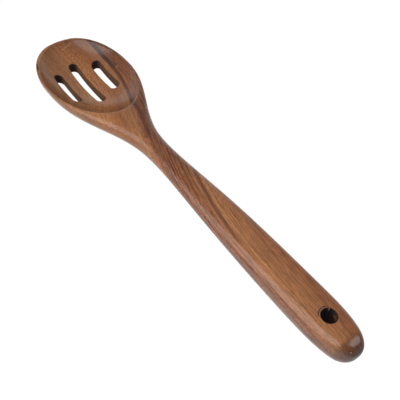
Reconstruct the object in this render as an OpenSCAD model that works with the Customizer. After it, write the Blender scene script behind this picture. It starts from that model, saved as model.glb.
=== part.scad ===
/* [Overall] */
// Length from the handle's end to the bowl's tip
total_length = 320; // [290:1:360]
// Thickness of the board that the spoon is carved from
board_thickness = 20.5; // [18:0.5:24]

/* [Handle] */
// Greatest width of the handle
handle_width = 25.2; // [20:0.2:32]
// Distance from the handle's end to its widest place
handle_widest_from_end = 40; // [36:1:70]
// Length of the handle's rounded end, seen from above
handle_end_length = 36; // [20:1:36]
// Length of the handle's rounded end, seen from the side
handle_end_round = 11; // [6:0.5:14]
// Distance from the handle's end to where its underside starts to rise
heel_from_end = 18; // [12:1:40]

/* [Neck] */
// Least width, seen from above
neck_width = 16.4; // [12:0.2:20]
// Least thickness, seen from the side
neck_thickness = 12; // [9:0.5:16]
// Distance from the bowl's tip to the narrowest place
neck_from_tip = 142; // [125:1:160]
// Distance from the bowl's tip to the thinnest place
thin_from_tip = 160; // [130:1:175]
// Drop of the top line at the neck
neck_dip = 0.5; // [0:0.1:2]

/* [Bowl] */
// Greatest width of the bowl
bowl_width = 66.8; // [60:0.2:76]
// Distance from the bowl's tip to its widest place
bowl_widest_from_tip = 41; // [34:1:50]
// Distance from the bowl's tip to the lowest place of its back
belly_from_tip = 50; // [40:1:60]
// Thickness of the rim at the tip
tip_thickness = 4.4; // [3:0.2:7]
// Rise of the rim at the tip
tip_rise = 2.5; // [0:0.1:5]
// Length of the rounding of the rim at the tip
tip_round = 2.2; // [1:0.2:4]

/* [Hollow] */
// Greatest depth of the hollow below the rim
hollow_depth = 13.5; // [9:0.1:15]
// Width of the rim left beside the hollow
side_rim = 0.9; // [0.6:0.1:4]
// Width of the rim left at the tip
tip_rim = 1.1; // [0.8:0.1:6]
// Distance from the bowl's tip to the hollow's widest place
hollow_widest_from_tip = 45.7; // [40:0.1:50]
// Distance from the bowl's tip to the hollow's end at the neck
hollow_end_from_tip = 93.4; // [84:0.1:98]

/* [Slots] */
// Width of each slot
slot_width = 7.2; // [5:0.1:9]
// Length of the middle slot
middle_slot_length = 48; // [36:1:54]
// Length of each outer slot
outer_slot_length = 34.3; // [24:0.1:40]
// Distance between the centre lines of neighbouring slots
slot_pitch = 15.95; // [13:0.05:18]
// Distance from the bowl's tip to the middles of the slots
slots_from_tip = 41.8; // [38:0.2:46]

/* [Hanging hole] */
// Diameter of the hole
hole_diameter = 9.5; // [6:0.1:12]
// Distance from the handle's end to the hole's centre
hole_from_end = 24; // [18:0.5:34]

/* [Hidden] */

wood_colour = "#8b5e3e";
// How far each cutter runs past the wood
overrun = 5;

// Places along the spoon, measured from the handle's end
neck_at = total_length - neck_from_tip;
thin_at = total_length - thin_from_tip;
bowl_widest_at = total_length - bowl_widest_from_tip;
belly_at = total_length - belly_from_tip;
hollow_widest_at = total_length - hollow_widest_from_tip;
slots_at = total_length - slots_from_tip;

// Half sizes of the hollow's outline
hollow_half_width = bowl_width / 2 - side_rim;
hollow_neck_reach = hollow_end_from_tip - hollow_widest_from_tip;
hollow_tip_reach = hollow_widest_from_tip - tip_rim;

// Share of the thickness above the widest line, and how square the corners above and below it are
handle_upper_share = 0.35;
neck_upper_share = 0.5;
bowl_upper_share = 0.09;
handle_upper_squareness = 3.4;
neck_upper_squareness = 2.3;
bowl_upper_squareness = 5.4;
handle_lower_squareness = 2.5;
neck_lower_squareness = 2.2;
bowl_lower_squareness = 2;

// How square the ends are, seen from above
handle_end_squareness = 2.4;
bowl_tip_fullness = 2;
bowl_tip_squareness = 2.4;
// How late the handle tapers, and how steeply the hollow's wall rises at its edge
taper_lateness = 2;
hollow_steepness = 0.78;

// Fineness of the carved surface
ring_count = 76;
ring_points = 36;
hollow_rings = 10;
hollow_points = 40;
round_facets = 64;

// Blends with a level start and end, the second one with a longer level stretch
function clamped(t) = min(max(t, 0), 1);
function blend(t) = let (c = clamped(t)) c * c * (3 - 2 * c);
function long_blend(t) = let (c = clamped(t)) c * c * c * (10 - 15 * c + 6 * c * c);
function between(a, b, t) = a + (b - a) * t;
// Share of the way from one place to another
function way(s, from, to) = clamped((s - from) / (to - from));
// Height of a round end at a share of its length
function round_end(t, squareness) = pow(1 - pow(1 - clamped(t), squareness), 1 / squareness);

function handle_half_width(s) =
    between(handle_width, neck_width,
            blend(pow(way(s, handle_widest_from_end, neck_at), taper_lateness))) / 2
    * round_end(s / handle_end_length, handle_end_squareness);
function bowl_half_width(s) =
    between(neck_width, bowl_width, long_blend(way(s, neck_at, bowl_widest_at))) / 2
    * pow(1 - pow(way(s, bowl_widest_at, total_length), bowl_tip_fullness), 1 / bowl_tip_squareness);
function half_width(s) = s < neck_at ? handle_half_width(s) : bowl_half_width(s);

// Heights of the spoon's top and bottom lines, with the board's underside at zero
function top_height(s) =
    board_thickness
    - neck_dip * blend(way(s, handle_widest_from_end, neck_at))
    + neck_dip * blend(way(s, neck_at, bowl_widest_at))
    + tip_rise * pow(way(s, bowl_widest_at, total_length), 2);
function bottom_height(s) =
    let (
        lift = board_thickness - neck_dip - neck_thickness,
        tip_lift = board_thickness + tip_rise - tip_thickness,
        past_belly = way(s, belly_at, total_length))
    lift * long_blend(way(s, heel_from_end, thin_at))
    - lift * blend(way(s, thin_at, belly_at))
    + tip_lift * (1 - sqrt(1 - past_belly * past_belly));

// A value that goes from the handle's to the neck's and on to the bowl's
function along(s, handle, neck, bowl) =
    handle
    + (neck - handle) * blend(way(s, handle_widest_from_end, neck_at))
    + (bowl - neck) * blend(way(s, neck_at, bowl_widest_at));

// Share of the thickness that the side view's rounded ends leave
function end_share(s) =
    round_end(s / handle_end_round, 2) * round_end((total_length - s) / tip_round, 2);

function signed_power(base, power) = sign(base) * pow(abs(base), power);

// One section across the spoon: two half superellipses that meet at the widest line
function ring(s) =
    let (
        top = top_height(s),
        thickness = top - bottom_height(s),
        upper = thickness * along(s, handle_upper_share, neck_upper_share, bowl_upper_share),
        upper_squareness = along(s, handle_upper_squareness, neck_upper_squareness,
                                 bowl_upper_squareness),
        lower_squareness = along(s, handle_lower_squareness, neck_lower_squareness,
                                 bowl_lower_squareness))
    [for (i = [0 : ring_points - 1])
        let (
            turn = -360 * i / ring_points,
            above = sin(turn) >= 0,
            squareness = above ? upper_squareness : lower_squareness,
            reach = (above ? upper : thickness - upper) * end_share(s))
        [s - total_length / 2,
         half_width(s) * signed_power(cos(turn), 2 / squareness),
         top - upper + reach * signed_power(sin(turn), 2 / squareness)]];

// Triangles between rings of points, with the first and the last point of the list as the ends
function band_faces(rings, points) =
    [for (r = [0 : rings - 2], i = [0 : points - 1])
        let (
            a = 1 + r * points + i,
            b = 1 + r * points + (i + 1) % points)
        each [[a, b, a + points], [b, b + points, a + points]]];
function first_faces(points) = [for (i = [0 : points - 1]) [0, 1 + (i + 1) % points, 1 + i]];
function last_faces(rings, points) =
    let (start = 1 + (rings - 1) * points, last = 1 + rings * points)
    [for (i = [0 : points - 1]) [start + i, start + (i + 1) % points, last]];
function closed_faces(rings, points) =
    concat(first_faces(points), band_faces(rings, points), last_faces(rings, points));

// The carved outside, with its rings closer together towards both ends
module outside() {
    stations = [for (i = [1 : ring_count]) total_length * (1 - cos(180 * i / (ring_count + 1))) / 2];
    handle_point = [-total_length / 2, 0, top_height(0) * (1 - handle_upper_share)];
    tip_point = [total_length / 2, 0,
                 top_height(total_length) - tip_thickness * bowl_upper_share];
    polyhedron(
        concat([handle_point], [for (s = stations) each ring(s)], [tip_point]),
        closed_faces(ring_count, ring_points));
}

// One ring of the hollow's surface, at a share of the way out to its edge
function hollow_ring(share, rise = 0) =
    [for (i = [0 : hollow_points - 1])
        let (
            turn = -360 * i / hollow_points,
            reach = cos(turn) < 0 ? hollow_neck_reach : hollow_tip_reach,
            s = hollow_widest_at + share * reach * cos(turn))
        [s - total_length / 2,
         share * hollow_half_width * sin(turn),
         top_height(s) - hollow_depth * pow(1 - share * share, hollow_steepness) + rise]];

// The wood taken out of the bowl
module hollow() {
    x = hollow_widest_at - total_length / 2;
    shares = [for (i = [1 : hollow_rings]) sin(90 * i / hollow_rings)];
    polyhedron(
        concat(
            [[x, 0, top_height(hollow_widest_at) - hollow_depth]],
            [for (share = shares) each hollow_ring(share)],
            hollow_ring(1, overrun),
            [[x, 0, top_height(hollow_widest_at) + overrun]]),
        closed_faces(hollow_rings + 1, hollow_points));
}

// One straight slot with round ends, cut right through
module slot(length) {
    translate([slots_at - total_length / 2, 0, -overrun])
        linear_extrude(board_thickness + 2 * overrun) {
            square([length - slot_width, slot_width], center = true);
            for (side = [-1, 1])
                translate([side * (length - slot_width) / 2, 0])
                    circle(d = slot_width, $fn = round_facets);
        }
}

module slots() {
    slot(middle_slot_length);
    for (side = [-1, 1])
        translate([0, side * slot_pitch, 0])
            slot(outer_slot_length);
}

// The hole that the spoon hangs by
module hanging_hole() {
    translate([hole_from_end - total_length / 2, 0, -overrun])
        cylinder(d = hole_diameter, h = board_thickness + 2 * overrun, $fn = round_facets);
}

module spoon() {
    color(wood_colour)
        difference() {
            outside();
            hollow();
            slots();
            hanging_hole();
        }
}

spoon();
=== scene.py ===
"""A slotted serving spoon carved from one board of brown acacia, lacquered, lying on a pale floor."""

import bmesh
import bpy
import numpy as np
from mathutils import Matrix, Vector
from mathutils.geometry import delaunay_2d_cdt


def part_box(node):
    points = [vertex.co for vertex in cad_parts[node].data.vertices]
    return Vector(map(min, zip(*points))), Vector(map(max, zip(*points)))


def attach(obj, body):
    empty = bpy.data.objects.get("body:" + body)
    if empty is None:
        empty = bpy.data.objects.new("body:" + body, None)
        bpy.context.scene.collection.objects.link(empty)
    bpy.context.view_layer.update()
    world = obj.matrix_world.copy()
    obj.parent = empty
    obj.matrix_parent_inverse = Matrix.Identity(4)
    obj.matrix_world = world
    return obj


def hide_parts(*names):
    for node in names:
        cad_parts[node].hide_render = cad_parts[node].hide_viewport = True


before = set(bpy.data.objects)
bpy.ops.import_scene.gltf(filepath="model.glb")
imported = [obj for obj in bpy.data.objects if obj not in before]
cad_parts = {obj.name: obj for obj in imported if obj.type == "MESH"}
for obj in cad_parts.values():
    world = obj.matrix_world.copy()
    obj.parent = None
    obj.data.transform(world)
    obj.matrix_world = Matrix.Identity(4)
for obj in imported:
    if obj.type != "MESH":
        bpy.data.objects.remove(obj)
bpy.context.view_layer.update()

MM = 0.001

# Sizes of the spoon in millimetres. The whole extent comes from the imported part.
low_corner, high_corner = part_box("spoon")
LENGTH = (high_corner[0] - low_corner[0]) / MM
BOWL_WIDTH = (high_corner[1] - low_corner[1]) / MM
BOARD = 20.5

HANDLE_WIDTH = 25.2
HANDLE_WIDEST_AT = 40
HANDLE_END_LENGTH = 36
HANDLE_END_ROUND = 11
HEEL_AT = 18

NECK_WIDTH = 16.4
NECK_THICKNESS = 12
NECK_AT = LENGTH - 142
THIN_AT = LENGTH - 160
NECK_DIP = 0.5

BOWL_WIDEST_AT = LENGTH - 41
BELLY_AT = LENGTH - 50
TIP_THICKNESS = 4.4
TIP_RISE = 2.5
TIP_ROUND = 2.2

SIDE_RIM = 0.9
TIP_RIM = 1.1
HOLLOW_DEPTH = 13.5
HOLLOW_WIDEST_FROM_TIP = 45.7
HOLLOW_END_FROM_TIP = 93.4
HOLLOW_WIDEST_AT = LENGTH - HOLLOW_WIDEST_FROM_TIP
HOLLOW_HALF_WIDTH = BOWL_WIDTH / 2 - SIDE_RIM
HOLLOW_NECK_REACH = HOLLOW_END_FROM_TIP - HOLLOW_WIDEST_FROM_TIP
HOLLOW_TIP_REACH = HOLLOW_WIDEST_FROM_TIP - TIP_RIM
HOLLOW_END_AT = HOLLOW_WIDEST_AT - HOLLOW_NECK_REACH

# How steeply the hollow's wall rises at its edge, at the sides and at the neck. The one goes over into
# the other between a place near the hollow's widest and its end at the neck.
HOLLOW_STEEPNESS = 0.78
HOLLOW_END_STEEPNESS = 0.86
HOLLOW_CHANGE_AT = HOLLOW_WIDEST_AT - 10
# The hollow shapes the face up to this share of the way from its middle to its edge
HOLLOW_LAST_SHARE = 1.2

SLOT_WIDTH = 7.2
SLOT_PITCH = 15.95
SLOTS_AT = LENGTH - 41.8
MIDDLE_SLOT_LENGTH = 48
OUTER_SLOT_LENGTH = 34.3
# Each slot's distance from the middle line, and its length
SLOTS = ((0, MIDDLE_SLOT_LENGTH), (SLOT_PITCH, OUTER_SLOT_LENGTH), (-SLOT_PITCH, OUTER_SLOT_LENGTH))

HOLE_RADIUS = 4.75
HOLE_AT = 24

# The section at the handle, neck and bowl: share above the widest line, squareness above and below it
UPPER_SHARES = (0.35, 0.5, 0.09)
UPPER_SQUARENESS = (3.4, 2.3, 5.4)
LOWER_SQUARENESS = (2.62, 2.3, 2.0)
HANDLE_END_SQUARENESS = 2.4
BOWL_TIP_FULLNESS = 2.0
BOWL_TIP_SQUARENESS = 2.4
TAPER_LATENESS = 2.0

# Sanded edges: how far each rounding reaches back from its edge
RIM_SOFTNESS = 0.6
HOLLOW_END_SOFTNESS = 2.2
SLOT_ROUNDING = 0.4
HOLE_ROUNDING = 0.4

# A torn fibre in the hole's upper edge, and a shallow groove that the drill left beside the hole. Turns
# are in degrees, and the groove fades in and out over GROOVE_FADE of them.
TORN_TURN = -45
TORN_SPREAD = 7
TORN_LENGTH = 1.8
GROOVE_RADIUS = 5.8
GROOVE_HALF_WIDTH = 0.3
GROOVE_DEPTH = 0.45
GROOVE_TURNS = (-40, 65)
GROOVE_FADE = 25
# Turns of the hole's points from the torn fibre, closer together next to it
HOLE_TURNS = np.concatenate([np.linspace(-20, 20, 21), np.arange(25, 340, 5)])
# Keeps a division from failing where the spoon's width is nothing
TINY = 1e-9

# Fineness of the mesh: stations along the spoon and how crowded they are at its ends, points across a
# face, and rows down the flanks and the cuts' walls
STATIONS = 250
END_CROWDING = 0.96
CROSS_POINTS = 45
ROWS_ABOVE = 20
ROWS_BELOW = 14
WALL_ROWS = 6
# Turns of the section at which the flanks end: above on the handle and the bowl, and below. The upper
# one changes over a length before the hollow.
UPPER_EDGE_TURNS = (62, 13)
LOWER_EDGE_TURN = -46
EDGE_CHANGE_LENGTH = 28
# Points round a slot: on each round end, and their spacing on the straight sides
SLOT_END_POINTS = 19
SLOT_SIDE_SPACING = 0.8
# Outlines that follow a cut's rounded edge, as shares of the rounding, and the width kept free of the
# face's own points round them
ROUNDING_STEPS = (0.0, 0.1, 0.26, 0.5, 0.78, 1.0)
CUT_MARGIN = SLOT_ROUNDING + 0.35
# Rings of points in the hollow, as shares of the way to its edge and closest together there, and the
# share at which the face's even grid takes over
HOLLOW_RINGS = (
    *np.linspace(0.06, 0.93, 22),
    0.955, 0.972, 0.983, 0.99, 0.996, 1.0, 1.005, 1.011, 1.018, 1.028,
)
HOLLOW_RING_TURNS = np.radians(np.arange(0, 360, 3))
GRID_FROM_SHARE = 1.04
# Rings of points for the groove, and the radius at which the even grid takes over
GROOVE_RINGS = np.arange(GROOVE_RADIUS - 0.3, GROOVE_RADIUS + 1.1, 0.15)
GROOVE_RING_TURNS = np.radians(np.arange(0, 360, 4))
GRID_FROM_RADIUS = GROOVE_RADIUS + 1.4
# The wall's darker finish and painted shade reach this far out over its rounded edge
WALL_FADE = SLOT_ROUNDING * 0.7
# Points closer than this are one: in plan in millimetres, and in the finished mesh in metres
PLAN_PRECISION = 1e-7
WELD_DISTANCE = 2e-7


def clamped(t):
    """A value held between 0 and 1."""
    return np.clip(t, 0.0, 1.0)


def blend(t):
    """From 0 to 1, with a level start and end."""
    c = clamped(t)
    return c * c * (3 - 2 * c)


def long_blend(t):
    """From 0 to 1, with a longer level stretch at the start and end."""
    c = clamped(t)
    return c * c * c * (10 - 15 * c + 6 * c * c)


def way(s, start, end):
    """Share of the way from one place to another."""
    return clamped((s - start) / (end - start))


def round_end(t, squareness):
    """Height of a round end at a share of its length."""
    return np.power(1 - np.power(1 - clamped(t), squareness), 1 / squareness)


def along(s, values):
    """A value that goes from the handle's to the neck's and on to the bowl's."""
    handle, neck, bowl = values
    to_neck = (neck - handle) * blend(way(s, HANDLE_WIDEST_AT, NECK_AT))
    to_bowl = (bowl - neck) * blend(way(s, NECK_AT, BOWL_WIDEST_AT))
    return handle + to_neck + to_bowl


def half_width(s):
    """Half the spoon's width in plan."""
    taper = blend(np.power(way(s, HANDLE_WIDEST_AT, NECK_AT), TAPER_LATENESS))
    handle = (HANDLE_WIDTH + (NECK_WIDTH - HANDLE_WIDTH) * taper) / 2
    handle = handle * round_end(s / HANDLE_END_LENGTH, HANDLE_END_SQUARENESS)
    flare = long_blend(way(s, NECK_AT, BOWL_WIDEST_AT))
    bowl = (NECK_WIDTH + (BOWL_WIDTH - NECK_WIDTH) * flare) / 2
    to_tip = np.power(way(s, BOWL_WIDEST_AT, LENGTH), BOWL_TIP_FULLNESS)
    bowl = bowl * np.power(1 - to_tip, 1 / BOWL_TIP_SQUARENESS)
    return np.where(s < NECK_AT, handle, bowl)


def top_height(s):
    """Height of the spoon's top line, without the hollow."""
    dip = blend(way(s, HANDLE_WIDEST_AT, NECK_AT)) - blend(way(s, NECK_AT, BOWL_WIDEST_AT))
    return BOARD - NECK_DIP * dip + TIP_RISE * way(s, BOWL_WIDEST_AT, LENGTH) ** 2


def bottom_height(s):
    """Height of the spoon's bottom line."""
    lift = BOARD - NECK_DIP - NECK_THICKNESS
    tip_lift = BOARD + TIP_RISE - TIP_THICKNESS
    past_belly = way(s, BELLY_AT, LENGTH)
    arch = long_blend(way(s, HEEL_AT, THIN_AT)) - blend(way(s, THIN_AT, BELLY_AT))
    return lift * arch + tip_lift * (1 - np.sqrt(1 - past_belly * past_belly))


def section(s):
    """The widest line's height, the reach above and below it, and the squareness of both."""
    top = top_height(s)
    thickness = top - bottom_height(s)
    upper = thickness * along(s, UPPER_SHARES)
    ends = round_end(s / HANDLE_END_ROUND, 2) * round_end((LENGTH - s) / TIP_ROUND, 2)
    squareness = along(s, UPPER_SQUARENESS), along(s, LOWER_SQUARENESS)
    return top - upper, upper * ends, (thickness - upper) * ends, *squareness


def outside_height(s, y, above):
    """Height of the carved outside over or under a place in plan."""
    middle, upper, lower, upper_squareness, lower_squareness = section(s)
    share = np.minimum(np.abs(y) / np.maximum(half_width(s), TINY), 1.0)
    if above:
        rise = np.power(1 - np.power(share, upper_squareness), 1 / upper_squareness)
        return middle + upper * rise
    rise = np.power(1 - np.power(share, lower_squareness), 1 / lower_squareness)
    return middle - lower * rise


def hollow_share(s, y):
    """How far a place in plan is from the hollow's middle, with 1 at its edge."""
    reach = np.where(s < HOLLOW_WIDEST_AT, HOLLOW_NECK_REACH, HOLLOW_TIP_REACH)
    return np.hypot((s - HOLLOW_WIDEST_AT) / reach, y / HOLLOW_HALF_WIDTH)


def soft_lowest(a, b, softness):
    """The lower of two heights, with the corner between them sanded round."""
    overlap = np.maximum(softness - np.abs(a - b), 0) / softness
    return np.minimum(a, b) - overlap * overlap * softness / 4


def upper_height(s, y):
    """Height of the finished upper side, the hollow included."""
    outside = outside_height(s, y, True)
    share = hollow_share(s, y)
    towards_neck = blend(way(s, HOLLOW_CHANGE_AT, HOLLOW_END_AT))
    steepness = HOLLOW_STEEPNESS + (HOLLOW_END_STEEPNESS - HOLLOW_STEEPNESS) * towards_neck
    depth = HOLLOW_DEPTH * np.power(np.maximum(1 - share * share, 0), steepness)
    beyond = np.maximum(share - 1, 0) * HOLLOW_HALF_WIDTH
    hollow = top_height(s) - depth + beyond
    softness = RIM_SOFTNESS + (HOLLOW_END_SOFTNESS - RIM_SOFTNESS) * towards_neck
    return np.where(share < HOLLOW_LAST_SHARE, soft_lowest(outside, hollow, softness), outside)


def lower_height(s, y):
    """Height of the underside."""
    return outside_height(s, y, False)


def slot_outline(offset_y, length, grow):
    """Points round a slot that is grown by a width, counter-clockwise."""
    half_straight = length / 2 - SLOT_WIDTH / 2
    radius = SLOT_WIDTH / 2 + grow
    steps = np.linspace(-1, 1, int(half_straight / SLOT_SIDE_SPACING))[1:-1]
    points = []
    for side in (1, -1):
        for turn in np.radians(np.linspace(-90, 90, SLOT_END_POINTS)):
            x = half_straight + radius * np.cos(turn)
            points.append((side * x, side * radius * np.sin(turn)))
        for step in steps:
            points.append((-side * step * half_straight, side * radius))
    return np.array(points) + (SLOTS_AT, offset_y)


def hole_radius(turn, torn):
    """The hole's radius at a turn in degrees, less where the fibre is torn. Torn is 0 or 1."""
    off = (turn - TORN_TURN + 180) % 360 - 180
    return HOLE_RADIUS - torn * TORN_LENGTH * np.exp(-((off / TORN_SPREAD) ** 2))


def hole_outline(grow, torn):
    """Points round the hole that is grown by a width, closer together at the torn fibre."""
    turns = TORN_TURN + HOLE_TURNS
    radius = hole_radius(turns, torn) + grow
    turns = np.radians(turns)
    return np.stack([HOLE_AT + radius * np.cos(turns), radius * np.sin(turns)], 1)


def groove_depth(s, y):
    """How deep the drill's groove is at a place in plan."""
    away = np.hypot(s - HOLE_AT, y) - GROOVE_RADIUS
    turn = np.degrees(np.arctan2(y, s - HOLE_AT))
    first, last = GROOVE_TURNS
    fade_in = blend(way(turn, first, first + GROOVE_FADE))
    fade_out = 1 - blend(way(turn, last - GROOVE_FADE, last))
    return GROOVE_DEPTH * fade_in * fade_out * np.exp(-((away / GROOVE_HALF_WIDTH) ** 2))


def rounding_drop(inset, rounding):
    """How far a rounded edge lies below the face, at a distance in from the edge."""
    left = np.maximum(rounding - inset, 0)
    return rounding - np.sqrt(rounding * rounding - left * left)


def slot_maker(slot):
    """A slot's outline, made when the width that it grows by is known. No fibre is torn there."""
    return lambda grow, torn: slot_outline(*slot, grow)


# Cuts that go right through: each has an outline in plan, and its edges are sanded round
CUTS = [(slot_maker(slot), SLOT_ROUNDING) for slot in SLOTS]
CUTS.append((hole_outline, HOLE_ROUNDING))


def slot_distance(s, y, offset_y, length):
    """Distance in plan from a slot's edge, less than zero inside it."""
    radius = SLOT_WIDTH / 2
    past = np.maximum(np.abs(s - SLOTS_AT) - (length / 2 - radius), 0)
    return np.hypot(past, y - offset_y) - radius


def cut_distance(s, y, torn):
    """Distance in plan from the nearest cut's edge. Torn is 1 on the upper face and 0 below."""
    turn = np.degrees(np.arctan2(y, s - HOLE_AT))
    distances = [slot_distance(s, y, *slot) for slot in SLOTS]
    distances.append(np.hypot(s - HOLE_AT, y) - hole_radius(turn, torn))
    return np.min(distances, axis=0)


def stations():
    """Places along the spoon, closer together towards both ends."""
    t = np.arange(1, STATIONS) / STATIONS
    return LENGTH * (t - END_CROWDING * np.sin(2 * np.pi * t) / (2 * np.pi))


def across(edge):
    """Places across a face from one edge to the other, closer together towards both."""
    return edge * np.sin(np.linspace(-90, 90, CROSS_POINTS) * np.pi / 180)


def ring_point(s, turn):
    """Points of the outside at a turn round the section: width and height for each station."""
    middle, upper, lower, upper_squareness, lower_squareness = section(s)
    above = np.all(turn >= 0)
    squareness = upper_squareness if above else lower_squareness
    reach = upper if above else lower
    c, h = np.cos(np.radians(turn)), np.sin(np.radians(turn))
    y = half_width(s) * np.sign(c) * np.power(np.abs(c), 2 / squareness)
    z = middle + reach * np.sign(h) * np.power(np.abs(h), 2 / squareness)
    return y, z


def edge_turn(s, above):
    """Turn at which the flank gives way to the upper or the lower face."""
    if not above:
        return np.full(len(s), LOWER_EDGE_TURN)
    handle, bowl = UPPER_EDGE_TURNS
    to_bowl = blend(way(s, HOLLOW_END_AT - EDGE_CHANGE_LENGTH, HOLLOW_END_AT))
    return handle + (bowl - handle) * to_bowl


def flank_rows(s):
    """Lengthwise rows of points down one flank, from the upper face's edge to the lower's."""
    turns = [edge_turn(s, True) * share for share in np.linspace(1, 0, ROWS_ABOVE)]
    turns += [edge_turn(s, False) * share for share in np.linspace(0, 1, ROWS_BELOW)[1:]]
    return [np.stack([s, *ring_point(s, turn)], 1) for turn in turns]


def inside_polygon(points, polygon):
    """Which points lie inside a closed outline."""
    inside = np.zeros(len(points), bool)
    for (ax, ay), (bx, by) in zip(polygon, np.roll(polygon, -1, 0)):
        if ay == by:
            continue
        spans = (points[:, 1] > ay) != (points[:, 1] > by)
        cross = points[:, 0] < ax + (points[:, 1] - ay) * (bx - ax) / (by - ay)
        inside ^= spans & cross
    return inside


def face_points(s, above):
    """Outline and inner grid of the upper or lower face in plan."""
    edge_y, _ = ring_point(s, edge_turn(s, above))
    rows = [np.stack([np.full(CROSS_POINTS, x), across(y)], 1) for x, y in zip(s, edge_y)]
    left = np.stack([s, edge_y], 1)
    right = np.stack([s, -edge_y], 1)
    outline = np.concatenate([rows[0], left[1:-1], rows[-1][::-1], right[-2:0:-1]])
    return outline, np.concatenate([row[1:-1] for row in rows[1:-1]])


def hollow_points():
    """Plan points that follow the hollow, closer together at its rim."""
    along_ring, across_ring = np.cos(HOLLOW_RING_TURNS), np.sin(HOLLOW_RING_TURNS)
    reach = np.where(along_ring < 0, HOLLOW_NECK_REACH, HOLLOW_TIP_REACH)
    points = []
    for share in HOLLOW_RINGS:
        x = HOLLOW_WIDEST_AT + share * reach * along_ring
        points.append(np.stack([x, share * HOLLOW_HALF_WIDTH * across_ring], 1))
    return np.concatenate(points)


def groove_points():
    """Plan points in rings round the hole, close enough together for the groove."""
    x, y = np.cos(GROOVE_RING_TURNS), np.sin(GROOVE_RING_TURNS)
    return np.concatenate([np.stack([HOLE_AT + r * x, r * y], 1) for r in GROOVE_RINGS])


def inner_points(grid, outline, above, torn):
    """A face's grid, with rings in the hollow and round the groove, and room round each cut."""
    if above:
        grid = grid[hollow_share(grid[:, 0], grid[:, 1]) > GRID_FROM_SHARE]
        rings = hollow_points()
        grid = np.concatenate([grid, rings[inside_polygon(rings, outline)]])
        grid = grid[np.hypot(grid[:, 0] - HOLE_AT, grid[:, 1]) > GRID_FROM_RADIUS]
    grid = grid[cut_distance(grid[:, 0], grid[:, 1], torn) > CUT_MARGIN]
    return np.concatenate([grid, groove_points()]) if above else grid


def triangulated(loops, inner):
    """Plan points of the outlines and of the inside, and triangles that keep to the outlines."""
    points = np.concatenate([*loops, inner])
    edges = []
    start = 0
    for loop in loops:
        count = len(loop)
        edges += [(start + i, start + (i + 1) % count) for i in range(count)]
        start += count
    vectors = [Vector(point) for point in points]
    _, _, faces, origins, _, _ = delaunay_2d_cdt(vectors, edges, [], 0, PLAN_PRECISION)
    assert all(origins), "the outlines cross each other"
    source = np.array([origin[0] for origin in origins])
    return points, np.array([[source[i] for i in face] for face in faces])


def triangulated_face(above):
    """One face of the spoon with its cuts left out: points in space and triangles."""
    torn = 1.0 if above else 0.0
    outline, grid = face_points(stations(), above)
    loops = [outline]
    for make_outline, rounding in CUTS:
        loops += [make_outline(step * rounding, torn) for step in ROUNDING_STEPS]
    points, triangles = triangulated(loops, inner_points(grid, outline, above, torn))
    middles = points[triangles].mean(1)
    keep = inside_polygon(middles, outline)
    for make_outline, _ in CUTS:
        keep &= ~inside_polygon(middles, make_outline(0, torn))
    x, y = points[:, 0], points[:, 1]
    z = upper_height(x, y) if above else lower_height(x, y)
    distance = np.maximum(cut_distance(x, y, torn), 0)
    rounding = np.where(x < NECK_AT, HOLE_ROUNDING, SLOT_ROUNDING)
    drop = rounding_drop(distance, rounding)
    z = z - drop - groove_depth(x, y) if above else z + drop
    return np.stack([x, y, z], 1), triangles[keep]


def ring_faces(rows, count):
    """Faces between rings of points, with as many rows of them between."""
    faces = []
    for r in range(rows):
        for i in range(count):
            a = r * count + i
            b = r * count + (i + 1) % count
            faces.append((a, b, b + count, a + count))
    return faces


def side_bands():
    """The flanks between the upper and the lower face."""
    rows = flank_rows(stations())
    count = len(rows[0])
    points = []
    faces = []
    for side in (1, -1):
        start = len(points) * count
        points += [row * (1, side, 1) for row in rows]
        for r in range(len(rows) - 1):
            for i in range(count - 1):
                a = start + r * count + i
                faces.append((a, a + 1, a + 1 + count, a + count))
    return np.concatenate(points), faces


def end_fan(station, apex):
    """Closes one end: the section's points at its last station, all joined to one point."""
    station = np.array([station])
    band = np.concatenate(flank_rows(station))[1:-1]
    x = np.full(CROSS_POINTS, station[0])
    loop = []
    for above in (True, False):
        edge_y, _ = ring_point(station, edge_turn(station, above))
        y = across(edge_y[0])
        z = upper_height(x, y) if above else lower_height(x, y)
        face = np.stack([x, y, z], 1)
        loop += [face, band] if above else [face[::-1], band[::-1] * (1, -1, 1)]
    loop = np.concatenate(loop)
    count = len(loop)
    return np.concatenate([loop, [apex]]), [(i, (i + 1) % count, count) for i in range(count)]


def cut_walls(make_outline, rounding):
    """The upright wall of one cut, between its two rounded edges."""
    upper = make_outline(0, 1.0)
    lower = make_outline(0, 0.0)
    high = upper_height(upper[:, 0], upper[:, 1]) - rounding
    low = lower_height(lower[:, 0], lower[:, 1]) + rounding
    points = []
    for r in range(WALL_ROWS + 1):
        ring = lower if r else upper
        points.append(np.column_stack([ring, high + (low - high) * r / WALL_ROWS]))
    return np.concatenate(points), ring_faces(WALL_ROWS, len(upper))


def mark_walls(mesh):
    """Stores how much each vertex lies on a slot's wall or the hole's, for its finish and painted
    shade.
    """
    places = np.empty(len(mesh.vertices) * 3)
    mesh.vertices.foreach_get("co", places)
    x, y, _ = places.reshape(-1, 3).T / MM
    x = x + LENGTH / 2
    on_wall = 1 - blend(cut_distance(x, y, 0.0) / WALL_FADE)
    for name, chosen in (("slot_wall", x > NECK_AT), ("hole_wall", x < NECK_AT)):
        layer = mesh.attributes.new(name, "FLOAT", "POINT")
        layer.data.foreach_set("value", np.where(chosen, on_wall, 0))


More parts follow.
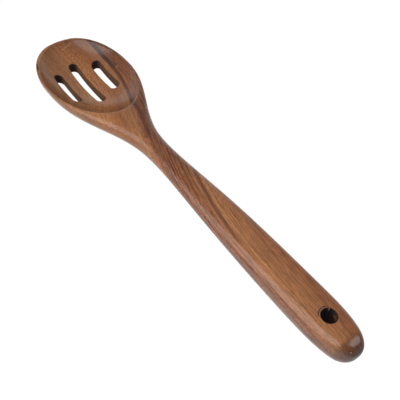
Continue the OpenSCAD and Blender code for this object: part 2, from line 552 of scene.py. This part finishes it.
def build_mesh(name, parts):
    """Joins the parts where their edges meet, and turns every face outwards."""
    points = []
    faces = []
    start = 0
    for part_points, part_faces in parts:
        points.append(part_points)
        faces += [tuple(int(i) + start for i in f) for f in part_faces]
        start += len(part_points)
    points = (np.concatenate(points) - (LENGTH / 2, 0, 0)) * MM
    mesh = bpy.data.meshes.new(name)
    mesh.from_pydata(points.tolist(), [], faces)
    shape = bmesh.new()
    shape.from_mesh(mesh)
    bmesh.ops.remove_doubles(shape, verts=shape.verts, dist=WELD_DISTANCE)
    bmesh.ops.recalc_face_normals(shape, faces=shape.faces)
    for face in shape.faces:
        face.smooth = True
    shape.to_mesh(mesh)
    shape.free()
    mark_walls(mesh)
    piece = bpy.data.objects.new(name, mesh)
    bpy.context.collection.objects.link(piece)
    return piece


def carved_spoon():
    """The whole spoon as one closed mesh."""
    first, *_, last = stations()
    handle_middle, tip_middle = section(np.array([0.0, LENGTH]))[0]
    parts = [triangulated_face(True), triangulated_face(False), side_bands()]
    parts.append(end_fan(first, (0, 0, handle_middle)))
    parts.append(end_fan(last, (LENGTH, 0, tip_middle)))
    parts += [cut_walls(*cut) for cut in CUTS]
    return build_mesh("carved_spoon", parts)


# Wood tones, from pale sapwood to dark heartwood
WOOD_TONES = {
    "straw": (186, 124, 78),
    "honey": (177, 117, 75),
    "sand": (180, 124, 81),
    "fawn": (167, 114, 76),
    "amber": (174, 110, 65),
    "tan": (162, 106, 69),
    "chestnut": (158, 97, 59),
    "brown": (153, 95, 59),
    "russet": (142, 88, 57),
    "umber": (131, 80, 53),
}
MAROON = (84, 44, 34)
PORE_COLOUR = (54, 31, 24)
# Dark colour of the cuts' walls: partly lacquer soaked into the cut wood, partly painted shade
SOAKED_AND_SHADED_WALL = (34, 18, 13)
# Colour of a painted pool of light on the hole's wall
HOLE_WALL_PAINTED_LIGHT = (150, 92, 52)

# The lacquer darkens every tone alike, to this share, and it is rougher in the pores and along the fine
# streaks
LACQUER_SHADE = 0.59
LACQUER_IOR = 1.42
ROUGHNESS = 0.17
STREAK_ROUGHNESS = 0.08
PORE_ROUGHNESS = 0.2
# Relief of the surface: its strength, its depth in metres, and how much the streaks raise it
RELIEF_STRENGTH = 0.05
RELIEF_DEPTH = 0.00008
FINE_RELIEF = 0.4
HAIR_RELIEF = 0.25

# What is left of the red, green and blue on end grain, on end grain in a slot, and at the handle's end.
# The
# last two are partly painted shade: the slots' ends deep in the cuts, and the handle's end.
END_GRAIN_TINT = (0.3, 0.2, 0.16)
SLOT_END_TINT = (0.12, 0.1, 0.1)
HANDLE_END_TINT = (0.4, 0.3, 0.26)
# Power of the cosine between the surface's normal and the fibres that counts as end grain
END_GRAIN_POWER = 1.5
# The handle's end darkens in two steps, partly with soaked lacquer and partly with painted shade: where
# each starts, where it is full, and its share
HANDLE_END_STEPS = ((10.0, 7.5, 0.5), (8.0, 3.0, 0.3))
# Share of the darker finish and painted shade on the walls of the slots and of the hole
WALL_SHARES = (("slot_wall", 0.5), ("hole_wall", 0.95))
# A painted pool of light on the hole's wall: its place, how far from it that fades, and its share
PAINTED_LIGHT_AT = (22.6, -4.6, -5.0)
PAINTED_LIGHT_REACH = (2.2, 1.2)
PAINTED_LIGHT_SHARE = 0.65
# Darker colour in the drill's groove: how far from its middle it fades, how far round it goes as the
# cosine of a turn, the heights between which it starts, and its share
GROOVE_DARK_REACH = (0.6, 0.1)
GROOVE_DARK_TURN = (0.6, 0.8)
GROOVE_DARK_HEIGHTS = (-3.0, -2.0)
GROOVE_DARK_SHARE = 0.8

# Growth layers across the board: distance in millimetres, tone there, strength of the grain
LAYERS = (
    (-10, "brown", 0.8), (-4, "chestnut", 0.8), (3, "tan", 0.8), (8.5, "honey", 0.8),
    (11.5, "sand", 0.8), (14, "honey", 0.8), (16.6, "tan", 0.9), (20.5, "brown", 1.1),
    (23.5, "russet", 1.2), (26, "chestnut", 1.1), (29, "brown", 1.1), (32, "umber", 1.2),
    (34.5, "russet", 1.2), (36.6, "chestnut", 1.1), (38.2, "tan", 0.9), (41, "fawn", 0.7),
    (44, "tan", 0.6), (47, "tan", 0.6), (50, "chestnut", 0.7), (53, "amber", 0.8),
    (57, "honey", 1.0), (62, "straw", 1.0), (66, "straw", 0.9), (70, "sand", 0.7),
    (75, "fawn", 0.6), (80, "sand", 0.4), (84, "fawn", 0.3), (88, "tan", 0.3), (92, "russet", 0.4),
)
STRONGEST_GRAIN = 1.5

# Thin dark lines between layers: distance and width in millimetres
DARK_LINES = (
    (10.2, 0.3), (18.2, 0.5), (21.0, 0.5), (24.2, 0.5), (26.3, 0.7), (28.1, 1.2), (30.2, 0.6),
)

# Two broad dark layers, one on the handle and one from the neck into the bowl. For each: distances at
# the start and the end of its stretch, the places of that stretch, half width, colour, strength, and
# the places between which it fades in
DARK_LAYERS = (
    ((14.4, 14.4), (72, 108), 2.1, (104, 60, 43), 0.75, (72, 108)),
    ((34.2, 38.4), (214, 240), 3.2, (84, 46, 34), 0.85, (160, 236)),
)
DARK_LAYER_CORE = 0.4

# How the layers lie: millimetres of layer for each millimetre across and up. Along the spoon they
# drift steadily, and between two places they swing over by a further distance
LAYER_TILT = (0.0, 1.0, -0.7)
DRIFT = 0.075
SWING_START = 90
SWING_END = 290
SWING = 37
ACROSS_LAYERS = (0.0, 0.82, -0.57)
ALONG_LAYERS = (0.0, 0.57, 0.82)
FIBRE_DIRECTION = (0.98, -0.2, 0.0)

# Noises: cells for each millimetre along the fibres, across the layers and along the layers, and the
# detail and roughness
WANDER = ((0.014, 0.08, 0.05), 2, 0.5)
RAGGED_EDGE = ((0.06, 0.6, 0.4), 4, 0.6)
LINE_GAPS = ((0.03, 0.3, 0.2), 2, 0.5)
BROAD_STREAKS = ((0.02, 0.4, 0.2), 3, 0.55)
MEDIUM_STREAKS = ((0.035, 1.0, 0.6), 3, 0.6)
FINE_STREAKS = ((0.08, 2.6, 1.4), 3, 0.6)
HAIR_STREAKS = ((0.2, 6.5, 4.5), 2, 0.6)
# Millimetres over which the layers wander, and over which their edges and the thin lines are ragged
WANDER_SIZE = 2.5
RAGGED_SIZE = 1.8
RAGGED_LINE_SIZE = 0.8
# Range of the noise over which a thin line goes from half its strength to all of it
LINE_PRESENCE = (0.36, 0.56, 0.5, 1.0)
# How much each kind of streak changes the brightness, and the least brightness that is left
BROAD_STRENGTH = 0.4
MEDIUM_STRENGTH = 0.8
FINE_STRENGTH = 2.2
HAIR_STRENGTH = 3.0
LEAST_BRIGHTNESS = 0.15
# Yearly rings, broad and fine: cells for each millimetre of layer, detail and strength
YEARLY_RINGS = ((0.42, 1.5, 0.45), (1.3, 2.0, 0.55))
# Pores in two sizes: cells for each millimetre, and the radius of a pore in cells
PORES = (((0.22, 1.1, 0.9), 0.33), ((0.36, 1.9, 1.6), 0.3))
# Share of the radius within which a pore is darkest, range of a cell's own number over which its pore
# comes up, power of the grain's strength that pores follow, and their darkness
PORE_CORE = 0.45
PORE_RANGE = (0.45, 0.85)
PORE_GRAIN_POWER = 2.0
PORE_DARKNESS = 0.5

# Marks fade out below their depth, and are full within a share of their half width
MARK_DEPTH_FADE = 0.5
MARK_CORE = 0.2
# Marks in plan, seen down to a depth, some of them painted highlights and sheen: start, end, half
# width, depth, colour and strength
MARKS = (
    # A dark streak on the bowl's wall; its purple-grey tint is a painted sheen
    ((280, -25.4), (305, -22.6), 2.4, 14, (58, 44, 50), 0.6),
    ((298.5, 28.6), (304.5, 26.7), 0.9, 14, (44, 28, 22), 0.85),
    # A painted highlight on the tip's inner wall, drawn as a thin pale line in two strokes
    ((314.0, 1.5), (314.7, -2.5), 0.35, 14, (205, 160, 120), 0.5),
    ((314.7, -2.5), (315.8, -8.0), 0.35, 14, (205, 160, 120), 0.5),
    # A painted highlight along the hollow's rim near its end at the neck, drawn as a thin pale line
    ((234.5, 19.0), (240.5, 15.5), 0.35, 14, (200, 155, 112), 0.45),
    ((254.5, 13.2), (259.5, 15.6), 1.5, 14, (70, 42, 32), 0.4),
    ((2.7, 4.4), (3.1, 5.0), 0.3, 14, (175, 140, 112), 0.7),
    ((194, 2.5), (203, -3.0), 2.2, 14, (60, 36, 30), 0.35),
    ((28.0, -4.0), (26.6, -2.6), 0.4, 1.2, (150, 112, 88), 0.6),
)


def linear(colour):
    """A display colour of 0 to 255 as the shader's linear value."""
    shares = [c / 255 for c in colour]
    return tuple(c / 12.92 if c <= 0.04045 else ((c + 0.055) / 1.055) ** 2.4 for c in shares) + (1.0,)


class Nodes:
    """Short calls that add shader nodes and join them."""

    def __init__(self, tree):
        self.tree = tree
        tree.nodes.clear()

    def add(self, kind, **settings):
        node = self.tree.nodes.new(kind)
        for name, value in settings.items():
            setattr(node, name, value)
        return node

    def feed(self, socket, value):
        if isinstance(value, bpy.types.NodeSocket):
            self.tree.links.new(value, socket)
        else:
            socket.default_value = value

    def math(self, operation, *values, clamp=False):
        node = self.add("ShaderNodeMath", operation=operation, use_clamp=clamp)
        for socket, value in zip(node.inputs, values):
            self.feed(socket, value)
        return node.outputs[0]

    def times(self, a, b):
        return self.math("MULTIPLY", a, b)

    def apart(self, a, b):
        """How far two values are from each other."""
        return self.math("ABSOLUTE", self.math("SUBTRACT", a, b))

    def vector(self, operation, *values):
        """The result of a vector operation, a number where it gives one."""
        node = self.add("ShaderNodeVectorMath", operation=operation)
        for socket, value in zip(node.inputs, values):
            self.feed(socket, value)
        gives_number = operation in ("DOT_PRODUCT", "LENGTH", "DISTANCE")
        return node.outputs["Value" if gives_number else "Vector"]

    def scaled(self, vector, factor):
        node = self.add("ShaderNodeVectorMath", operation="SCALE")
        self.feed(node.inputs[0], vector)
        self.feed(node.inputs["Scale"], factor)
        return node.outputs["Vector"]

    def mapped(self, value, low, high, to_low=0.0, to_high=1.0):
        """A value carried smoothly from one range to another, and held at its ends."""
        node = self.add("ShaderNodeMapRange", interpolation_type="SMOOTHSTEP")
        for socket, given in zip(node.inputs, (value, low, high, to_low, to_high)):
            self.feed(socket, given)
        return node.outputs[0]

    def noise(self, vector, cells, detail, roughness):
        """Noise with a number of cells for each millimetre in each direction."""
        node = self.add("ShaderNodeTexNoise")
        self.feed(node.inputs["Vector"], self.vector("MULTIPLY", vector, cells))
        node.inputs["Scale"].default_value = 1.0
        node.inputs["Detail"].default_value = detail
        node.inputs["Roughness"].default_value = roughness
        return node.outputs[0]

    def line_noise(self, value, cells, detail):
        """Noise along one value, with a number of cells for each millimetre of it."""
        node = self.add("ShaderNodeTexNoise", noise_dimensions="1D")
        self.feed(node.inputs["W"], self.times(value, cells))
        node.inputs["Scale"].default_value = 1.0
        node.inputs["Detail"].default_value = detail
        return node.outputs[0]

    def swing(self, noise, size):
        """Noise about zero, from minus to plus half a size."""
        return self.times(self.math("SUBTRACT", noise, 0.5), size)

    def mix(self, factor, a, b):
        node = self.add("ShaderNodeMix", data_type="RGBA")
        self.feed(node.inputs["Factor"], factor)
        self.feed(node.inputs[6], a)
        self.feed(node.inputs[7], b)
        return node.outputs[2]

    def tinted(self, factor, colour, tint):
        """A colour of which only the tint's shares are left where the factor is one."""
        return self.mix(factor, colour, self.vector("MULTIPLY", colour, tint))

    def ramp(self, value, stops):
        """Colour and strength at a value between stops."""
        node = self.add("ShaderNodeValToRGB")
        self.feed(node.inputs[0], value)
        elements = node.color_ramp.elements
        while len(elements) < len(stops):
            elements.new(1.0)
        for element, (position, colour) in zip(elements, stops):
            element.position = position
            element.color = colour
        return node.outputs["Color"], node.outputs["Alpha"]

    def stroke(self, place, start, end, width):
        """One on a line between two places in plan, and nothing beyond its width."""
        start = Vector((*start, 0))
        line = Vector((*end, 0)) - start
        from_start = self.vector("SUBTRACT", place, start)
        share = self.vector("DOT_PRODUCT", from_start, line / line.length_squared)
        share = self.math("ADD", share, 0.0, clamp=True)
        distance = self.vector("DISTANCE", from_start, self.scaled(line, share))
        return self.mapped(distance, width, width * MARK_CORE)


def spoon_place(nodes, coordinates):
    """Place in millimetres: along from the handle's end, across, and up from the board's face."""
    place = nodes.scaled(coordinates.outputs["Object"], 1 / MM)
    return nodes.vector("ADD", place, (LENGTH / 2, 0, -BOARD))


def grown_place(nodes, place, along_spoon):
    """The place as it lies in the growth layers, and along, across and up its fibres."""
    swung = nodes.mapped(along_spoon, SWING_START, SWING_END, 0.0, SWING)
    drifted = nodes.math("MULTIPLY_ADD", along_spoon, DRIFT, swung)
    grown = nodes.vector("ADD", place, nodes.scaled((0, 1, 0), drifted))
    fibre = nodes.add("ShaderNodeCombineXYZ")
    for socket, direction in zip(fibre.inputs, ((1, 0, 0), ACROSS_LAYERS, ALONG_LAYERS)):
        nodes.feed(socket, nodes.vector("DOT_PRODUCT", grown, direction))
    return grown, fibre.outputs[0]


def layer_tones(nodes, layer):
    """Colour and strength of the grain at a distance across the layers."""
    first = LAYERS[0][0]
    extent = LAYERS[-1][0] - first
    stops = []
    for at, tone, strength in LAYERS:
        colour = (*linear(WOOD_TONES[tone])[:3], strength / STRONGEST_GRAIN)
        stops.append(((at - first) / extent, colour))
    share = nodes.math("DIVIDE", nodes.math("SUBTRACT", layer, first), extent)
    colour, grain = nodes.ramp(share, stops)
    return colour, nodes.times(grain, STRONGEST_GRAIN)


def with_dark_lines(nodes, colour, layer, fibre):
    """Adds the thin dark lines, which fade in and out along the fibres."""
    lines = 0.0
    for at, width in DARK_LINES:
        line = nodes.mapped(nodes.apart(layer, at), width, 0.0)
        lines = nodes.math("MAXIMUM", lines, line)
    present = nodes.mapped(nodes.noise(fibre, *LINE_GAPS), *LINE_PRESENCE)
    return nodes.mix(nodes.times(lines, present), colour, linear(MAROON))


def with_dark_layers(nodes, colour, layer, along_spoon):
    """Adds the broad dark layers."""
    for distances, stretch, width, tint, strength, fade in DARK_LAYERS:
        at = nodes.mapped(along_spoon, *stretch, *distances)
        band = nodes.mapped(nodes.apart(layer, at), width, DARK_LAYER_CORE)
        band = nodes.times(band, nodes.mapped(along_spoon, *fade, 0.0, strength))
        colour = nodes.mix(band, colour, linear(tint))
    return colour


def pore_dashes(nodes, fibre):
    """Open pores: short dark dashes along the fibres, in two sizes."""
    pores = 0.0
    for cells, radius in PORES:
        dots = nodes.add("ShaderNodeTexVoronoi", feature="F1")
        nodes.feed(dots.inputs["Vector"], nodes.vector("MULTIPLY", fibre, cells))
        dots.inputs["Scale"].default_value = 1.0
        chosen = nodes.add("ShaderNodeSeparateColor")
        nodes.feed(chosen.inputs[0], dots.outputs["Color"])
        near = nodes.mapped(dots.outputs["Distance"], radius, radius * PORE_CORE)
        near = nodes.times(near, nodes.mapped(chosen.outputs[0], *PORE_RANGE))
        pores = nodes.math("MAXIMUM", pores, near)
    return pores


def with_soaked_wood_and_painted_light(nodes, colour, place, along_spoon, normal, walls):
    """Darkens the end grain, the walls of the cuts and the handle's end, which took more lacquer and
    carry painted shade, and paints a pool of light on the hole's wall.
    """
    # The cuts' walls: partly wood that took more lacquer, partly painted shade deep in the cuts
    for wall, (_, share) in zip(walls, WALL_SHARES):
        colour = nodes.mix(nodes.times(wall, share), colour, linear(SOAKED_AND_SHADED_WALL))
    slot_wall, hole_wall = walls
    # A painted pool of light on the hole's wall, where a lamp reaches in
    from_painted_light = nodes.vector("DISTANCE", place, PAINTED_LIGHT_AT)
    painted_light = nodes.mapped(from_painted_light, *PAINTED_LIGHT_REACH, 0.0, PAINTED_LIGHT_SHARE)
    colour = nodes.mix(nodes.times(painted_light, hole_wall), colour, linear(HOLE_WALL_PAINTED_LIGHT))

    # End grain is darker and redder wherever a surface cuts across the fibres
    end_grain = nodes.math("ABSOLUTE", nodes.vector("DOT_PRODUCT", normal, FIBRE_DIRECTION))
    end_grain = nodes.math("POWER", end_grain, END_GRAIN_POWER)
    colour = nodes.tinted(end_grain, colour, END_GRAIN_TINT)
    # Painted shade: end grain on a slot's wall, at the slots' ends, darkens nearly to black
    colour = nodes.tinted(nodes.times(end_grain, slot_wall), colour, SLOT_END_TINT)

    # The handle's end: partly end grain that took more lacquer, partly painted shade
    soaked_and_shaded = 0.0
    for start, full, share in HANDLE_END_STEPS:
        soaked_and_shaded = nodes.math("ADD", soaked_and_shaded, nodes.mapped(along_spoon, start, full, 0.0, share))
    return nodes.tinted(soaked_and_shaded, colour, HANDLE_END_TINT)


def with_darker_groove(nodes, colour, flat_place, height):
    """Darkens the drill's groove on the upper face, on the side of the hole that it runs round."""
    from_hole = nodes.vector("SUBTRACT", flat_place, (HOLE_AT, 0, 0))
    radius = nodes.vector("LENGTH", from_hole)
    middle = np.radians(sum(GROOVE_TURNS) / 2)
    ahead = nodes.vector("DOT_PRODUCT", from_hole, (np.cos(middle), np.sin(middle), 0))
    groove = nodes.mapped(nodes.apart(radius, GROOVE_RADIUS), *GROOVE_DARK_REACH)
    groove = nodes.times(groove, nodes.mapped(nodes.math("DIVIDE", ahead, radius), *GROOVE_DARK_TURN))
    groove = nodes.times(groove, nodes.mapped(height, *GROOVE_DARK_HEIGHTS, 0.0, GROOVE_DARK_SHARE))
    return nodes.mix(groove, colour, linear(MAROON))


def with_marks(nodes, colour, flat_place, height):
    """Adds the scratches and stains, and the painted highlights and sheen among the marks."""
    for start, end, width, depth, tint, strength in MARKS:
        mark = nodes.times(nodes.stroke(flat_place, start, end, width), strength)
        seen = nodes.mapped(height, -depth - MARK_DEPTH_FADE, -depth)
        colour = nodes.mix(nodes.times(mark, seen), colour, linear(tint))
    return colour


def lacquered_wood():
    """Brown acacia in growth layers with pores, dark lines and marks, under a thin lacquer. Some marks
    and finishes are painted highlights, sheen, light and shade.
    """
    material = bpy.data.materials.new("lacquered_wood")
    material.use_nodes = True
    nodes = Nodes(material.node_tree)
    coordinates = nodes.add("ShaderNodeTexCoord")
    place = spoon_place(nodes, coordinates)
    along_spoon = nodes.vector("DOT_PRODUCT", place, (1, 0, 0))
    grown, fibre = grown_place(nodes, place, along_spoon)

    # Growth layers, with a slow wander and a fine ragged edge along the fibres
    wander = nodes.noise(fibre, *WANDER)
    ragged = nodes.noise(fibre, *RAGGED_EDGE)
    layer = nodes.vector("DOT_PRODUCT", grown, LAYER_TILT)
    thin_layer = nodes.math("ADD", layer, nodes.swing(ragged, RAGGED_LINE_SIZE))
    layer = nodes.math("ADD", layer, nodes.swing(wander, WANDER_SIZE))
    layer = nodes.math("ADD", layer, nodes.swing(ragged, RAGGED_SIZE))
    colour, grain = layer_tones(nodes, layer)

    # Yearly rings inside the layers, which show as arcs where the hollow cuts them
    brightness = 1.0
    for cells, detail, strength in YEARLY_RINGS:
        ring = nodes.swing(nodes.line_noise(thin_layer, cells, detail), strength)
        brightness = nodes.math("ADD", brightness, ring)

    # Streaks along the fibres
    broad = nodes.noise(fibre, *BROAD_STREAKS)
    medium = nodes.noise(fibre, *MEDIUM_STREAKS)
    fine = nodes.noise(fibre, *FINE_STREAKS)
    hair = nodes.noise(fibre, *HAIR_STREAKS)
    streaks = nodes.math("ADD", nodes.swing(medium, MEDIUM_STRENGTH), nodes.swing(fine, FINE_STRENGTH))
    streaks = nodes.math("ADD", streaks, nodes.swing(hair, HAIR_STRENGTH))
    streaks = nodes.math("ADD", streaks, nodes.swing(broad, BROAD_STRENGTH))
    brightness = nodes.math("MULTIPLY_ADD", streaks, grain, brightness)
    colour = nodes.scaled(colour, nodes.math("MAXIMUM", brightness, LEAST_BRIGHTNESS))

    colour = with_dark_lines(nodes, colour, thin_layer, fibre)
    colour = with_dark_layers(nodes, colour, thin_layer, along_spoon)
    pores = pore_dashes(nodes, fibre)
    pores = nodes.times(pores, nodes.math("POWER", grain, PORE_GRAIN_POWER))
    pore_share = nodes.math("MULTIPLY", pores, PORE_DARKNESS, clamp=True)
    colour = nodes.mix(pore_share, colour, linear(PORE_COLOUR))

    walls = []
    for name, _ in WALL_SHARES:
        walls.append(nodes.add("ShaderNodeAttribute", attribute_name=name).outputs["Fac"])
    normal = coordinates.outputs["Normal"]
    colour = with_soaked_wood_and_painted_light(nodes, colour, place, along_spoon, normal, walls)
    flat_place = nodes.vector("MULTIPLY", place, (1, 1, 0))
    height = nodes.vector("DOT_PRODUCT", place, (0, 0, 1))
    colour = with_darker_groove(nodes, colour, flat_place, height)
    colour = with_marks(nodes, colour, flat_place, height)

    shader = nodes.add("ShaderNodeBsdfPrincipled")
    nodes.feed(shader.inputs["Base Color"], nodes.scaled(colour, LACQUER_SHADE))
    roughness = nodes.math("MULTIPLY_ADD", fine, STREAK_ROUGHNESS, ROUGHNESS)
    roughness = nodes.math("MULTIPLY_ADD", pores, PORE_ROUGHNESS, roughness)
    roughness = nodes.math("MAXIMUM", roughness, nodes.math("MAXIMUM", *walls))
    nodes.feed(shader.inputs["Roughness"], roughness)
    shader.inputs["IOR"].default_value = LACQUER_IOR

    bump = nodes.add("ShaderNodeBump")
    bump.inputs["Strength"].default_value = RELIEF_STRENGTH
    bump.inputs["Distance"].default_value = RELIEF_DEPTH
    relief = nodes.math("MULTIPLY_ADD", hair, HAIR_RELIEF, nodes.times(fine, FINE_RELIEF))
    nodes.feed(bump.inputs["Height"], nodes.math("SUBTRACT", relief, pores))
    nodes.feed(shader.inputs["Normal"], bump.outputs[0])
    output = nodes.add("ShaderNodeOutputMaterial")
    nodes.feed(output.inputs["Surface"], shader.outputs[0])
    return material


# The sweep in metres: its radius, the bend from the floor to its wall, and the wall's height
SWEEP_RADIUS = 4.0
SWEEP_BEND = 0.8
SWEEP_HEIGHT = 1.6
# The floor's paint for bounced light, and what the camera sees: dark paint for the shadow, and a glow
FLOOR_PAINT = 0.8
SHADOW_PAINT = 0.06
FLOOR_GLOW = 0.97


def white_sweep():
    """White to the camera and in reflections, with a faint shadow, and pale paint for other light."""
    material = bpy.data.materials.new("white_floor")
    material.use_nodes = True
    nodes = Nodes(material.node_tree)
    paths = nodes.add("ShaderNodeLightPath")
    seen = nodes.math("MAXIMUM", paths.outputs["Is Camera Ray"], paths.outputs["Is Glossy Ray"])
    seen = nodes.math("MAXIMUM", seen, paths.outputs["Is Transmission Ray"])
    paint = nodes.add("ShaderNodeBsdfDiffuse")
    paint.inputs["Color"].default_value = (FLOOR_PAINT, FLOOR_PAINT, FLOOR_PAINT, 1)
    shade = nodes.add("ShaderNodeBsdfDiffuse")
    shade.inputs["Color"].default_value = (SHADOW_PAINT, SHADOW_PAINT, SHADOW_PAINT, 1)
    glow = nodes.add("ShaderNodeEmission")
    glow.inputs["Color"].default_value = (1, 1, 1, 1)
    glow.inputs["Strength"].default_value = FLOOR_GLOW
    white = nodes.add("ShaderNodeAddShader")
    nodes.feed(white.inputs[0], shade.outputs[0])
    nodes.feed(white.inputs[1], glow.outputs[0])
    mixed = nodes.add("ShaderNodeMixShader")
    nodes.feed(mixed.inputs[0], seen)
    nodes.feed(mixed.inputs[1], paint.outputs[0])
    nodes.feed(mixed.inputs[2], white.outputs[0])
    output = nodes.add("ShaderNodeOutputMaterial")
    nodes.feed(output.inputs["Surface"], mixed.outputs[0])
    return material


def pale_floor():
    """A round floor that bends up into a wall."""
    profile = []
    for turn in np.radians(np.linspace(0, 90, 10)):
        out = SWEEP_RADIUS - SWEEP_BEND + SWEEP_BEND * np.sin(turn)
        profile.append((out, SWEEP_BEND - SWEEP_BEND * np.cos(turn)))
    profile.append((SWEEP_RADIUS, SWEEP_HEIGHT))
    turns = np.radians(np.arange(0, 360, 5))
    corners = [(r * np.cos(t), r * np.sin(t), z) for r, z in profile for t in turns]
    middle = tuple(range(len(turns)))
    mesh = bpy.data.meshes.new("floor")
    mesh.from_pydata(corners, [], [middle, *ring_faces(len(profile) - 1, len(turns))])
    mesh.materials.append(white_sweep())
    floor = bpy.data.objects.new("floor", mesh)
    bpy.context.collection.objects.link(floor)


def softbox(name, place, diameter, power):
    """A round soft lamp that shines at the spoon's middle."""
    lamp = bpy.data.lights.new(name, "AREA")
    lamp.shape = "DISK"
    lamp.size = diameter
    lamp.energy = power
    box = bpy.data.objects.new(name, lamp)
    box.location = place
    box.rotation_euler = Vector(place).to_track_quat("Z", "Y").to_euler()
    box.visible_camera = False
    bpy.context.collection.objects.link(box)


def surroundings(strength):
    """The even light of a plain white room."""
    world = bpy.data.worlds.new("white_room")
    bpy.context.scene.world = world
    world.use_nodes = True
    nodes = Nodes(world.node_tree)
    light = nodes.add("ShaderNodeBackground")
    light.inputs["Color"].default_value = (1, 1, 1, 1)
    light.inputs["Strength"].default_value = strength
    output = nodes.add("ShaderNodeOutputWorld")
    nodes.feed(output.inputs["Surface"], light.outputs[0])


# The camera, above and beyond the handle's end, looking down along the spoon
CAMERA_PLACE = (-0.21405, 0.16437, 0.2909)
CAMERA_RIGHT = (-0.60387, -0.79512, 0.05586)
CAMERA_UP = (0.61860, -0.42330, 0.66193)
CAMERA_BACK = (-0.50267, 0.43428, 0.74748)


def photographer():
    """Sets the camera up where the photo was taken from."""
    lens = bpy.data.cameras.new("camera")
    lens.lens = 53.19
    lens.sensor_width = 36
    lens.clip_start = 0.01
    camera = bpy.data.objects.new("camera", lens)
    turn = Matrix((CAMERA_RIGHT, CAMERA_UP, CAMERA_BACK)).transposed()
    camera.matrix_world = Matrix.Translation(CAMERA_PLACE) @ turn.to_4x4()
    bpy.context.collection.objects.link(camera)
    bpy.context.scene.camera = camera


spoon = carved_spoon()
spoon.data.materials.append(lacquered_wood())
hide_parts("spoon")
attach(spoon, "root")

pale_floor()
surroundings(strength=0.4)
softbox("left_softbox", place=(-0.008, 0.212, 0.205), diameter=0.48, power=1.6)
softbox("right_softbox", place=(-0.336, -0.252, 0.339), diameter=0.23, power=0.5)
photographer()

bpy.context.scene.view_settings.view_transform = "Standard"
